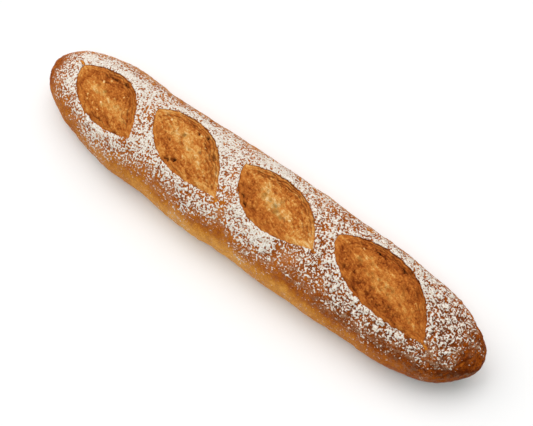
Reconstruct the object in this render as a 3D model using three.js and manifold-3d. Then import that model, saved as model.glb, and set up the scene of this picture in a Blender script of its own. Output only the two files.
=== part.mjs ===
import * as THREE from 'three';
import { mergeVertices } from 'three/addons/utils/BufferGeometryUtils.js';
import Module from 'manifold-3d';

const wasm = await Module();
wasm.setup();

// A short floured baguette with four leaf-shaped scores, lying on its flat underside.
// Millimetres, +Z up. +X runs along the loaf to its near end, -Y is its front side, and the
// origin is under the middle of the loaf, on the surface it rests on.

const loafLength = 320;
const loafWidth = 64;
const loafHeight = 46; // crown of the bare loaf, before the scores lift it
const beltHeight = 18; // the widest line, where the sides turn under
const soleDepth = 3; // how far the round of the belly would reach below the baking sheet

// Roundness of the section above and below the belt. 2 is an ellipse, more is boxier.
const crownPower = 2.15;
const bellyPower = 2.4;

// Bluntness of the ends: in plan, seen from the side, and where the sole curls up.
const farEndPower = 4.9;
const nearEndPower = 5.1;
const profilePower = 3.5;
const farSolePower = 5.2;
const nearSolePower = 9;

// Both ends lean a little to the back, and the far half is a touch slimmer.
const farBend = 4.8;
const farBendStart = 70;
const nearBend = 1.9;
const nearBendStart = 142;
const slimming = 0.014;
const slimmingReach = 100;

// Swells and waists of the sides: place along the loaf, height and reach along it.
const backSwells = [
  { x: -112, rise: 0.9, reach: 16 },
  { x: -96, rise: 0.4, reach: 12 },
  { x: -84, rise: -0.9, reach: 14 },
  { x: -60, rise: -1, reach: 16 },
  { x: 0, rise: 0.5, reach: 14 },
  { x: 28, rise: 0.9, reach: 20 },
  { x: 50, rise: -0.5, reach: 10 },
  { x: 125, rise: 0.75, reach: 10 },
];
const frontSwells = [
  { x: -92, rise: 0.5, reach: 14 },
  { x: -66, rise: -1.2, reach: 16 },
  { x: -34, rise: 0.8, reach: 16 },
  { x: -21, rise: 0.95, reach: 13 },
  { x: 2, rise: -0.5, reach: 9 },
  { x: 27, rise: 0.5, reach: 11 },
  { x: 48, rise: -0.5, reach: 8 },
  { x: 68, rise: -0.3, reach: 10 },
  { x: 84, rise: -1.1, reach: 12 },
  { x: 112, rise: 0.4, reach: 12 },
  { x: 155, rise: -2, reach: 9 },
];
const swellFade = 20; // the swells die out where the loaf's half width is less than this

// Low waves of the skin: height, length of the wave, its direction and its start.
const skinWaves = [
  { rise: 0.3, length: 47, turn: 12, start: 0.8 },
  { rise: 0.25, length: 31, turn: -28, start: 2.1 },
  { rise: 0.15, length: 19, turn: 55, start: 4.0 },
];

// Each score opened to a leaf of dough. Its middle, half length and turn are in plan.
// back and front are the half widths on either side of its long axis, and the two powers
// of each say how blunt that side is towards the far and the near tip.
const leaves = [
  {
    x: -108, y: -4.3, halfLength: 30.5, turn: -23,
    back: { bulge: 18, powers: [0.88, 0.93] },
    front: { bulge: 14, powers: [0.68, 0.88] },
    streak: [-0.3, 0.15],
  },
  {
    x: -46.2, y: -3.9, halfLength: 34, turn: -21.6,
    back: { bulge: 18.8, powers: [0.75, 0.98] },
    front: { bulge: 14.2, powers: [0.93, 1.3] },
    streak: [0.05, 0.3],
  },
  {
    x: 17.2, y: 1.5, halfLength: 33.2, turn: -17.6,
    back: { bulge: 16.5, powers: [0.93, 0.93] },
    front: { bulge: 18.2, powers: [0.83, 1.15] },
    streak: [0, -0.3],
  },
  {
    x: 91.7, y: -2.2, halfLength: 38, turn: -16.3,
    back: { bulge: 21.4, powers: [0.83, 0.88] },
    front: { bulge: 14.7, powers: [0.6, 0.98] },
    streak: [0.1, 0.08],
  },
];

const swellRise = 1.3; // the loaf domes up under each leaf
const swellSpread = 1.25; // that dome's reach, in half lengths and half widths of the leaf

// The opened dough, measured down from the skin around it.
const crestDepth = 0.4;
const backEdgeDepth = 1.8;
const frontEdgeDepth = 1.5;
const edgePower = 5; // how close to the edge the dough turns down
const tipDepth = 0.5;
const tipPower = 4; // how close to a tip the relief flattens out
const streakDepth = 0.5; // the shallow valley where the cut opened last
const streakWidth = 0.22; // in half widths of the leaf
const lumpRise = 0.3;
const lumpLength = 9;

// Layers torn open along the edges: how far out each groove runs, and how deep.
const layers = [
  { at: 0.9, depth: 0.7, width: 0.035 },
  { at: 0.78, depth: 0.5, width: 0.035 },
  { at: -0.87, depth: 0.6, width: 0.04 },
];

// Slits in the opened dough: leaf, place along and across it, length, width and depth.
const slits = [
  { leaf: 0, along: -0.4, across: 0.68, length: 5, width: 1.4, depth: 2 },
  { leaf: 0, along: -0.08, across: 0.84, length: 6, width: 1.7, depth: 2.4 },
  { leaf: 1, along: 0.01, across: -0.6, length: 4, width: 2, depth: 2.2 },
  { leaf: 1, along: -0.08, across: -0.8, length: 5, width: 1.6, depth: 2.4 },
  { leaf: 1, along: -0.05, across: 0.86, length: 5, width: 1.8, depth: 2.4 },
  { leaf: 2, along: -0.47, across: 0.7, length: 7, width: 1.4, depth: 2 },
  { leaf: 2, along: -0.36, across: -0.86, length: 5, width: 1.5, depth: 2.4 },
  { leaf: 2, along: -0.67, across: -0.76, length: 4, width: 1.3, depth: 1.8 },
  { leaf: 3, along: -0.02, across: 0.82, length: 7, width: 2, depth: 2.6 },
  { leaf: 3, along: -0.44, across: 0.66, length: 7, width: 1.6, depth: 2.2 },
  { leaf: 3, along: -0.22, across: -0.84, length: 4, width: 1.4, depth: 2 },
];

// The skin tore a little further than the cut at two tips: leaf, place, length and depth.
const tears = [
  { leaf: 0, along: -1.07, length: 8, width: 1.8, depth: 0.9 },
  { leaf: 3, along: 1.02, length: 6, width: 1.6, depth: 0.9 },
];

// Fineness of the faces.
const bodyStations = 80;
const bodySides = 40;
const leafStations = 30;
const outlineSteps = 4000;

// How far the cutting shapes reach past the loaf.
const cutterHeight = 6;
const floorMargin = 20;

const degrees = Math.PI / 180;

function smoothStep(value) {
  const t = Math.min(1, Math.max(0, value));
  return t * t * (3 - 2 * t);
}

function bell(value) {
  return Math.exp(-value * value);
}

// Middle line of the loaf in plan.
function spine(x) {
  const far = (-x - farBendStart) / (loafLength / 2 - farBendStart);
  const near = (x - nearBendStart) / (loafLength / 2 - nearBendStart);
  return farBend * smoothStep(far) + nearBend * smoothStep(near);
}

// How much of the full size is left towards an end, 1 in the middle and 0 at the tip.
function taper(x, power) {
  const reach = Math.min(1, Math.abs(x) / (loafLength / 2));
  return Math.sqrt(1 - reach ** power);
}

function halfWidth(x, side) {
  const slim = 1 - slimming * Math.min(1, Math.max(0, -x / slimmingReach));
  const bare = (loafWidth / 2) * slim * taper(x, x < 0 ? farEndPower : nearEndPower);
  let swell = 0;
  for (const one of side > 0 ? backSwells : frontSwells) {
    swell += one.rise * bell((x - one.x) / one.reach);
  }
  return bare + swell * Math.min(1, bare / swellFade);
}

// Where a plan point lies in a leaf: -1 to 1 along it, and in millimetres to its back.
function leafPlace(leaf, x, y) {
  const c = Math.cos(leaf.turn * degrees);
  const s = Math.sin(leaf.turn * degrees);
  const dx = x - leaf.x;
  const dy = y - leaf.y;
  return { along: (dx * c + dy * s) / leaf.halfLength, offset: dy * c - dx * s };
}

function leafPoint(leaf, along, offset) {
  const c = Math.cos(leaf.turn * degrees);
  const s = Math.sin(leaf.turn * degrees);
  const run = along * leaf.halfLength;
  return [leaf.x + run * c - offset * s, leaf.y + run * s + offset * c];
}

// Half width of a leaf on one side of its long axis.
function leafHalfWidth(leaf, along, side) {
  const { bulge, powers } = side > 0 ? leaf.back : leaf.front;
  const [far, near] = powers;
  const widest = (far - near) / (far + near);
  const law = (t) => (1 + t) ** far * (1 - t) ** near;
  return (bulge * law(Math.min(1, Math.max(-1, along)))) / law(widest);
}

// Height that the waves and the domes under the leaves add to the crown.
function skinRise(x, y) {
  let rise = 0;
  for (const wave of skinWaves) {
    const run = x * Math.cos(wave.turn * degrees) + y * Math.sin(wave.turn * degrees);
    rise += wave.rise * Math.sin((2 * Math.PI * run) / wave.length + wave.start);
  }
  for (const leaf of leaves) {
    const { along, offset } = leafPlace(leaf, x, y);
    const bulge = offset > 0 ? leaf.back.bulge : leaf.front.bulge;
    rise += swellRise * bell(Math.hypot(along, offset / bulge) / swellSpread);
  }
  return rise;
}

// Height of the skin above a plan point.
function skinHeight(x, y) {
  const side = y > spine(x) ? 1 : -1;
  const width = halfWidth(x, side);
  if (width === 0) return beltHeight;
  const reach = Math.min(1, Math.abs(y - spine(x)) / width);
  const round = (1 - reach ** crownPower) ** (1 / crownPower);
  const crown = (loafHeight - beltHeight) * taper(x, profilePower);
  return beltHeight + round * (crown + skinRise(x, y) * taper(x, profilePower));
}

// Depth of the opened dough below the skin. across runs from -1 at the front edge to 1.
function doughDepth(leaf, along, across) {
  const edge = across > 0 ? backEdgeDepth : frontEdgeDepth;
  const openness = 1 - along ** tipPower;
  const [farStreak, nearStreak] = leaf.streak;
  const streak = farStreak + ((nearStreak - farStreak) * (along + 1)) / 2;
  let depth = crestDepth + (edge - crestDepth) * Math.abs(across) ** edgePower;
  depth += streakDepth * bell((across - streak) / streakWidth);
  for (const layer of layers) {
    depth += layer.depth * bell((across - layer.at) / layer.width);
  }
  const [x, y] = leafPoint(leaf, along, across * leafHalfWidth(leaf, along, across));
  const wave = (2 * Math.PI) / lumpLength;
  depth -= lumpRise * Math.sin(wave * (x + 0.4 * y)) * Math.sin(wave * (y - 0.3 * x));
  return tipDepth + (depth - tipDepth) * openness;
}

// A closed body through a row of closed rings, whose first and last ring are each a point
// or an upright line.
function loft(rings) {
  const positions = rings.flat(2);
  const sides = rings[0].length;
  const faces = [];
  for (let i = 0; i + 1 < rings.length; i += 1) {
    for (let k = 0; k < sides; k += 1) {
      const a = i * sides + k;
      const b = i * sides + ((k + 1) % sides);
      faces.push(a, b, b + sides, a, b + sides, a + sides);
    }
  }
  const geometry = new THREE.BufferGeometry();
  geometry.setAttribute('position', new THREE.Float32BufferAttribute(positions, 3));
  geometry.setIndex(faces);
  return geometry;
}

function solid(geometry) {
  geometry.deleteAttribute('normal');
  geometry.deleteAttribute('uv');
  const merged = mergeVertices(geometry, 1e-4);
  const index = merged.index.array;
  const faces = [];
  for (let i = 0; i < index.length; i += 3) {
    const [a, b, c] = index.slice(i, i + 3);
    if (a !== b && b !== c && c !== a) faces.push(a, b, c);
  }
  return new wasm.Manifold(
    new wasm.Mesh({
      numProp: 3,
      vertProperties: new Float32Array(merged.attributes.position.array),
      triVerts: new Uint32Array(faces),
    }),
  );
}

// Places along the loaf in equal steps of its plan outline, so the blunt ends are as
// finely stepped as the sides.
function bodyPlaces() {
  const run = [0];
  const place = (i) => (-loafLength / 2) * Math.cos((Math.PI * i) / outlineSteps);
  for (let i = 1; i <= outlineSteps; i += 1) {
    const widths = [place(i - 1), place(i)].map((x) => halfWidth(x, 1));
    run.push(run[i - 1] + Math.hypot(place(i) - place(i - 1), widths[1] - widths[0]));
  }
  const places = [];
  for (let i = 0, at = 0; i <= bodyStations; i += 1) {
    while (at < outlineSteps && run[at] < (run[outlineSteps] * i) / bodyStations) at += 1;
    places.push(place(at));
  }
  return places;
}

// One closed section of the loaf, from its back belt over the crown to the front and under.
function bodyRing(x) {
  const ring = [];
  for (let k = 0; k < bodySides; k += 1) {
    const angle = (2 * Math.PI * k) / bodySides;
    const c = Math.cos(angle);
    const s = Math.sin(angle);
    const side = c > 0 ? 1 : -1;
    const power = 2 / (s > 0 ? crownPower : bellyPower);
    const y = spine(x) + side * halfWidth(x, side) * Math.abs(c) ** power;
    const belly = (beltHeight + soleDepth) * taper(x, x < 0 ? farSolePower : nearSolePower);
    const z = s > 0 ? skinHeight(x, y) : beltHeight - belly * Math.abs(s) ** power;
    ring.push([x, y, z]);
  }
  return ring;
}

// Rows across a leaf: closest together where the torn layers run.
function leafRows() {
  const rows = [-1, -0.94, -0.7, -0.5, -0.3, -0.1, 0.1, 0.3, 0.5, 0.66, 0.84, 0.95, 1];
  for (const layer of layers) rows.push(layer.at);
  return rows.sort((a, b) => a - b);
}

// What was cut away above a leaf's dough: its underside is the dough's surface.
function leafCutter(leaf) {
  const rows = leafRows();
  const rings = [];
  for (let i = 0; i <= leafStations; i += 1) {
    const along = -Math.cos((Math.PI * i) / leafStations);
    const floor = [];
    const roof = [];
    for (const across of rows) {
      const offset = across * leafHalfWidth(leaf, along, across);
      const [x, y] = leafPoint(leaf, along, offset);
      floor.push([x, y, skinHeight(x, y) - doughDepth(leaf, along, across)]);
      roof.push([x, y, skinHeight(x, y) + cutterHeight]);
    }
    rings.push([...floor, ...roof.reverse()]);
  }
  return solid(loft(rings));
}

function spindle({ length, width, depth }, [x, y, z], turn) {
  const shape = new THREE.OctahedronGeometry(1, 1);
  shape.scale(length / 2, width / 2, depth);
  shape.rotateZ(turn);
  shape.translate(x, y, z);
  return solid(shape);
}

// A slit in the dough, along the leaf's nearest edge.
function slitCutter(slit) {
  const leaf = leaves[slit.leaf];
  const place = (t) => leafPoint(leaf, t, slit.across * leafHalfWidth(leaf, t, slit.across));
  const [x, y] = place(slit.along);
  const [nextX, nextY] = place(slit.along + 0.05);
  const z = skinHeight(x, y) - doughDepth(leaf, slit.along, slit.across);
  return spindle(slit, [x, y, z], Math.atan2(nextY - y, nextX - x));
}

// A tear in the skin, in line with the leaf's long axis.
function tearCutter(tear) {
  const leaf = leaves[tear.leaf];
  const [x, y] = leafPoint(leaf, tear.along, 0);
  return spindle(tear, [x, y, skinHeight(x, y)], leaf.turn * degrees);
}

function floorBlock() {
  const height = soleDepth + floorMargin;
  const block = new THREE.BoxGeometry(loafLength + floorMargin, loafWidth + floorMargin, height);
  block.translate(0, 0, -height / 2);
  return solid(block);
}

function makeLoaf() {
  let loaf = solid(loft(bodyPlaces().map(bodyRing))).subtract(floorBlock());
  for (const leaf of leaves) loaf = loaf.subtract(leafCutter(leaf));
  for (const slit of slits) loaf = loaf.subtract(slitCutter(slit));
  for (const tear of tears) loaf = loaf.subtract(tearCutter(tear));
  const { vertProperties, triVerts } = loaf.getMesh();
  const geometry = new THREE.BufferGeometry();
  geometry.setAttribute('position', new THREE.BufferAttribute(vertProperties, 3));
  geometry.setIndex(new THREE.BufferAttribute(triVerts, 1));
  geometry.computeVertexNormals();
  const crust = new THREE.MeshStandardMaterial({
    name: 'baked crust', color: 0xb5743a, roughness: 0.7, metalness: 0, flatShading: true,
  });
  const mesh = new THREE.Mesh(geometry, crust);
  mesh.name = 'loaf';
  return mesh;
}

const baguette = new THREE.Group();
baguette.name = 'baguette';
baguette.add(makeLoaf());

export default baguette;
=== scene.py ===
import math

import bmesh
import bpy
import numpy as np
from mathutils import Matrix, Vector, noise


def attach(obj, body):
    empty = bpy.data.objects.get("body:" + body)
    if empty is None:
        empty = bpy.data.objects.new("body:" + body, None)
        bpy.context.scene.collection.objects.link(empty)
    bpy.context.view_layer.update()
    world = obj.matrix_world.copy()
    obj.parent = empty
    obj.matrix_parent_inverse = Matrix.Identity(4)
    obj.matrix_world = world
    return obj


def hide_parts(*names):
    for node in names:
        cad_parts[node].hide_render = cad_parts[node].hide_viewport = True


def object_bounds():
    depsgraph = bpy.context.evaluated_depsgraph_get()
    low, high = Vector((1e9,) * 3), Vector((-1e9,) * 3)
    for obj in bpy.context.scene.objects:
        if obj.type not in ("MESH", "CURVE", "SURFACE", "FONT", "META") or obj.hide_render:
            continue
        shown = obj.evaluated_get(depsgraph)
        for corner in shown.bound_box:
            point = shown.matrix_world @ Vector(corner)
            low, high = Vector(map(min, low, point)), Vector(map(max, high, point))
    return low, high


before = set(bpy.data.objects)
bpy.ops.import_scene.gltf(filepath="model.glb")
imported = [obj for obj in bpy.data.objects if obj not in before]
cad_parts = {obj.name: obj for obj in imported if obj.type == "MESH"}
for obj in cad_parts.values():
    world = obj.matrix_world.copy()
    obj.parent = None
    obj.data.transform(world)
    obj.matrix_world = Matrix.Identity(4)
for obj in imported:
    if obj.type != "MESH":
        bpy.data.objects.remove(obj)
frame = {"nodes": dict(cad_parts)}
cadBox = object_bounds()
mm = 0.001
print("frame loaded, nodes:", ", ".join(frame["nodes"]))


# Small helpers

def smooth(value, start, end):
    # 0 at the start and 1 at the end, whichever of the two is higher
    t = np.clip((value - start) / (end - start), 0, 1)
    return t * t * (3 - 2 * t)


def fade(value, law):
    # a law is an amount and the two places between which it sets in
    amount, start, end = law
    return amount * smooth(value, start, end)


def bell(value):
    # 1 in the middle, fading to both sides
    return np.exp(-np.square(value))


def noiseAt(points, size, octaves=1, shift=0):
    # rounded noise with blobs of this size in mm, mostly between -1 and 1
    scaled = (points / size + shift).tolist()
    if octaves == 1:
        return np.array([noise.noise(p) for p in scaled]) * 1.8
    return np.array([noise.fractal(p, 1, 2, octaves) for p in scaled]) * 1.6


def cellsAt(points, size, shift=0):
    # distance to the nearest and second nearest cell centre, in cell sizes
    scaled = (points / size + shift).tolist()
    found = [noise.voronoi(p, distance_metric="DISTANCE", exponent=2.5)[0] for p in scaled]
    return np.array([f[0] for f in found]), np.array([f[1] for f in found])


def toLinear(hexColour):
    parts = [int(hexColour[i:i + 2], 16) / 255 for i in (0, 2, 4)]
    return [p / 12.92 if p <= 0.04045 else ((p + 0.055) / 1.055) ** 2.4 for p in parts] + [1]


def addNode(tree, kind, inputs=None, stops=(), **settings):
    # adds one node: inputs are plain values or another node's output
    node = tree.nodes.new(kind)
    for name, value in settings.items():
        setattr(node, name, value)
    if stops:
        ramp = node.color_ramp.elements
        while len(ramp) < len(stops):
            ramp.new(1)
        for element, (place, hexColour) in zip(ramp, stops):
            element.position = place
            element.color = toLinear(hexColour)
    for name, value in (inputs or {}).items():
        if isinstance(value, bpy.types.NodeSocket):
            tree.links.new(value, node.inputs[name])
        else:
            node.inputs[name].default_value = value
    return node


def addMaterial(name, *values):
    # a material with an empty node tree, the place on the piece and its painted values
    material = bpy.data.materials.new(name)
    material.use_nodes = True
    tree = material.node_tree
    tree.nodes.clear()
    place = addNode(tree, "ShaderNodeTexCoord").outputs["Object"]
    return material, tree, place, *[
        addNode(tree, "ShaderNodeAttribute", attribute_name=v).outputs["Fac"] for v in values]


def addObject(name, data):
    thing = bpy.data.objects.new(name, data)
    bpy.context.scene.collection.objects.link(thing)
    return thing


def addPiece(name, points, faces, material):
    mesh = bpy.data.meshes.new(name)
    mesh.from_pydata((np.asarray(points) * mm).tolist(), [], faces)
    mesh.materials.append(material)
    return addObject(name, mesh)


def weld(piece):
    # merges the points that meet at the tips of a loft
    work = bmesh.new()
    work.from_mesh(piece.data)
    bmesh.ops.remove_doubles(work, verts=work.verts, dist=0.0001 * mm)
    work.to_mesh(piece.data)
    work.free()


def loftFaces(rings, sides):
    faces = []
    for i in range(rings - 1):
        for k in range(sides):
            a = i * sides + k
            b = i * sides + (k + 1) % sides
            faces.append((a, b, b + sides, a + sides))
    return faces


def pointsOf(piece):
    flat = np.empty(len(piece.data.vertices) * 3)
    piece.data.vertices.foreach_get("co", flat)
    return flat.reshape(-1, 3) / mm


def setPoints(piece, points):
    # moved points never leave the frame's own box
    low, high = np.array(cadBox[0]) / mm, np.array(cadBox[1]) / mm
    piece.data.vertices.foreach_set("co", (np.clip(points, low, high) * mm).ravel())
    piece.data.update()


def normalsOf(piece):
    flat = np.empty(len(piece.data.vertices) * 3, np.float32)
    piece.data.vertex_normals.foreach_get("vector", flat)
    return flat.reshape(-1, 3)


def setValue(piece, name, values):
    layer = piece.data.attributes.new(name, "FLOAT", "POINT")
    layer.data.foreach_set("value", values.astype(np.float32))


# The bare loaf, in mm: x runs to its near end, -y is its front, z is up from the table

loaf = {
    "length": 320, "width": 64, "height": 46,
    "beltHeight": 18,  # the widest line
    "soleDepth": 3,  # how far the round of the belly would reach below the baking sheet
    "crownPower": 2.15, "bellyPower": 2.4,  # 2 is an ellipse, more is boxier
    "farEndPower": 4.9, "nearEndPower": 5.1, "profilePower": 3.5,  # bluntness of the ends
    "farSolePower": 5.2, "nearSolePower": 9,  # and of the sole's ends
    # how far each end leans to the back, and where it starts to
    "farBend": 4.8, "farBendStart": 70, "nearBend": 1.9, "nearBendStart": 142,
    "slimming": 0.014, "slimmingReach": 100,
    "swellFade": 20,
    # swells and waists of the sides: place, height and reach
    "backSwells": [(-112, 0.9, 16), (-96, 0.4, 12), (-84, -0.9, 14), (-60, -1, 16), (0, 0.5, 14),
                   (28, 0.9, 20), (50, -0.5, 10), (125, 0.75, 10)],
    "frontSwells": [(-92, 0.5, 14), (-66, -1.2, 16), (-34, 0.8, 16), (-21, 0.95, 13),
                    (2, -0.5, 9), (27, 0.5, 11), (48, -0.5, 8), (68, -0.3, 10), (84, -1.1, 12),
                    (112, 0.4, 12), (155, -2, 9)],
    "waves": [(0.3, 47, 12, 0.8), (0.25, 31, -28, 2.1), (0.15, 19, 55, 4.0)],
    "swellRise": 1.3, "swellSpread": 1.25,  # the dome under each score
    "ragged": [(0.2, 9.3), (0.13, 5.1), (0.1, 2.3)],  # how far each cut lip strays, and how often
}

# The scores opened to leaves of dough. Half widths and end powers are to the back and front.
# The pale streak runs across from one place to the other and is brightest between its ends.
# toast darkens the whole leaf and frontToast its front, paleness lightens the streak and pale
# the near third

scores = [
    {"x": -108, "y": -4.3, "halfLength": 30.5, "turn": -23,
     "back": (18, 0.88, 0.93), "front": (14, 0.68, 0.88),
     "streak": (-0.3, 0.15), "streakEnds": (-0.6, 0.6),
     "toast": 0.02, "frontToast": 0.03, "paleness": 0.24, "pale": 0.03},
    {"x": -46.2, "y": -3.9, "halfLength": 34, "turn": -21.6,
     "back": (18.8, 0.75, 0.98), "front": (14.2, 0.93, 1.3),
     "streak": (0.05, 0.3), "streakEnds": (-0.65, 0.35),
     "toast": -0.08, "frontToast": 0.05, "paleness": 0.18, "pale": 0.08},
    {"x": 17.2, "y": 1.5, "halfLength": 33.2, "turn": -17.6,
     "back": (16.5, 0.93, 0.93), "front": (18.2, 0.83, 1.15),
     "streak": (0, -0.3), "streakEnds": (-0.5, 0.3),
     "toast": -0.08, "frontToast": 0.14, "paleness": 0.29, "pale": 0.12},
    {"x": 91.7, "y": -2.2, "halfLength": 38, "turn": -16.3,
     "back": (21.4, 0.83, 0.88), "front": (14.7, 0.6, 0.98),
     "streak": (0.1, 0.08), "streakEnds": (-0.8, 0.7),
     "toast": 0.1, "frontToast": 0.05, "paleness": 0.22, "pale": 0.03},
]


def spineAt(x):
    far = loaf["farBend"] * smooth(-x, loaf["farBendStart"], loaf["length"] / 2)
    return far + loaf["nearBend"] * smooth(x, loaf["nearBendStart"], loaf["length"] / 2)


def taperAt(x, power):
    return np.sqrt(1 - np.minimum(1, np.abs(x) / (loaf["length"] / 2)) ** power)


def bellyDepthAt(x):
    # how far the round of the belly reaches below the belt
    power = np.where(x < 0, loaf["farSolePower"], loaf["nearSolePower"])
    return (loaf["beltHeight"] + loaf["soleDepth"]) * taperAt(x, power)


def halfWidthAt(x, side):
    slim = 1 - loaf["slimming"] * np.clip(-x / loaf["slimmingReach"], 0, 1)
    power = np.where(x < 0, loaf["farEndPower"], loaf["nearEndPower"])
    bare = loaf["width"] / 2 * slim * taperAt(x, power)
    back = sum(rise * bell((x - at) / reach) for at, rise, reach in loaf["backSwells"])
    front = sum(rise * bell((x - at) / reach) for at, rise, reach in loaf["frontSwells"])
    return bare + np.where(side > 0, back, front) * np.minimum(1, bare / loaf["swellFade"])


def placeInScore(score, x, y):
    # -1 to 1 along the score, and mm to its back
    c, s = math.cos(math.radians(score["turn"])), math.sin(math.radians(score["turn"]))
    dx, dy = x - score["x"], y - score["y"]
    return (dx * c + dy * s) / score["halfLength"], dy * c - dx * s


def pointInScore(score, along, offset):
    c, s = math.cos(math.radians(score["turn"])), math.sin(math.radians(score["turn"]))
    run = along * score["halfLength"]
    return score["x"] + run * c - offset * s, score["y"] + run * s + offset * c


def scoreHalfWidth(score, along, side):
    def law(t, far, near):
        return (1 + t) ** far * (1 - t) ** near

    t = np.clip(along, -1, 1)
    widths = []
    for bulge, far, near in (score["back"], score["front"]):
        plain = bulge * law(t, far, near) / law((far - near) / (far + near), far, near)
        run = t * score["halfLength"] + 7 * bulge
        ragged = sum(rise * np.sin(2 * math.pi * run / length) for rise, length in loaf["ragged"])
        widths.append(plain + ragged * np.minimum(1, plain / 5))
    return np.where(side > 0, widths[0], widths[1])


def spotInScore(score, along, across):
    # both run from -1 to 1, across from the front edge to the back edge
    return pointInScore(score, along, across * scoreHalfWidth(score, along, across))


def skinHeight(x, y):
    # height of the skin over a point on the table
    rise = np.zeros_like(x)
    for height, length, turn, start in loaf["waves"]:
        run = x * math.cos(math.radians(turn)) + y * math.sin(math.radians(turn))
        rise += height * np.sin(2 * math.pi * run / length + start)
    for score in scores:
        along, offset = placeInScore(score, x, y)
        bulge = np.where(offset > 0, score["back"][0], score["front"][0])
        rise += loaf["swellRise"] * bell(np.hypot(along, offset / bulge) / loaf["swellSpread"])
    across = y - spineAt(x)
    width = np.maximum(halfWidthAt(x, across), 1e-9)
    roundness = 1 - np.minimum(1, np.abs(across) / width) ** loaf["crownPower"]
    crown = (loaf["height"] - loaf["beltHeight"] + rise) * taperAt(x, loaf["profilePower"])
    return loaf["beltHeight"] + roundness ** (1 / loaf["crownPower"]) * crown


def aroundAt(points):
    # degrees round the section: 0 is the back belt, 90 the crown, 180 the front belt
    x, y, z = points.T
    across = y - spineAt(x)
    reach = np.clip(np.abs(across) / np.maximum(halfWidthAt(x, across), 1e-9), 0, 1)
    angle = np.degrees(np.arccos(reach ** (loaf["crownPower"] / 2)))
    low = np.clip((loaf["beltHeight"] - z) / np.maximum(bellyDepthAt(x), 1e-9), 0, 1)
    under = -np.degrees(np.arcsin(low ** (loaf["bellyPower"] / 2)))
    angle = np.where(z < loaf["beltHeight"] - 0.01, under, angle)
    return np.where(across > 0, angle, 180 - angle)


outlineSteps = 480
outlines = []
for score in scores:
    t = -np.cos(np.linspace(0, math.pi, outlineSteps))
    for side in (1, -1):
        outlines.append(spotInScore(score, t, side))
outlinePoints = np.concatenate([np.stack(o, 1) for o in outlines])


def edgeDistance(x, y):
    # mm to the nearest score's outline, negative on the opened dough, farAway beyond its reach
    farAway, batch = 99.0, 4000
    distance = np.full(len(x), farAway)
    for i, score in enumerate(scores):
        along, offset = placeInScore(score, x, y)
        near = (np.abs(along) < 1.5) & (np.abs(offset) < loaf["width"] / 2)
        spots = np.stack([x[near], y[near]], 1)
        rim = outlinePoints[2 * i * outlineSteps:(2 * i + 2) * outlineSteps]
        found = np.empty(len(spots))
        for start in range(0, len(spots), batch):
            gap = spots[start:start + batch, None] - rim[None]
            found[start:start + batch] = np.sqrt((gap ** 2).sum(2).min(1))
        inside = (np.abs(along) < 1) & (np.abs(offset) < scoreHalfWidth(score, along, offset))
        found = np.where(inside[near], -found, found)
        distance[near] = np.where(found < 0, found, np.minimum(distance[near], found))
    return distance


# Materials. Sizes are in mm, and an edge is the span of the noise over which a layer sets in

crustFinish = {
    # brown mottling in patches and freckles; paler is taken off the browning as a whole
    "patchSize": 3, "patchContrast": 0.9, "freckleSize": 0.8, "freckleContrast": 0.7,
    "paler": 0.8,
    "browning": [(0, "e0a14c"), (0.2, "cc8532"), (0.4, "b66b20"), (0.6, "a05114"),
                 (0.8, "7f3a0a"), (1, "582103")],
    # flour grains and the gaps between them
    "grainSize": 1.2, "grainContrast": 12, "grainEdge": (5.35, 6.5),
    # a veil so thin that the brown warms it, in drifts where the flour runs out
    "driftSize": 3, "driftEdge": (0.48, 0.6), "veilStrength": 0.38, "veilColour": "dcb088",
    # thin flour lets the brown warm it too, thick flour is chalky and turns greyer where its
    # freckles sink, as painted shade
    "thinFlour": "d39657", "thickFlourAndShade": [(0.35, "d2c3ad"), (0.61, "ede8e0")],
    "bareRoughness": 0.5, "flourRoughness": 0.95,
    "grainRise": 1.4,  # how far the grains stand out against the freckles
    "bumpStrength": 0.6, "bumpHeight": 0.25,
    "ior": 1.45, "specular": 0.02,  # the porous skin scatters most of its gloss away
}


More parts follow.
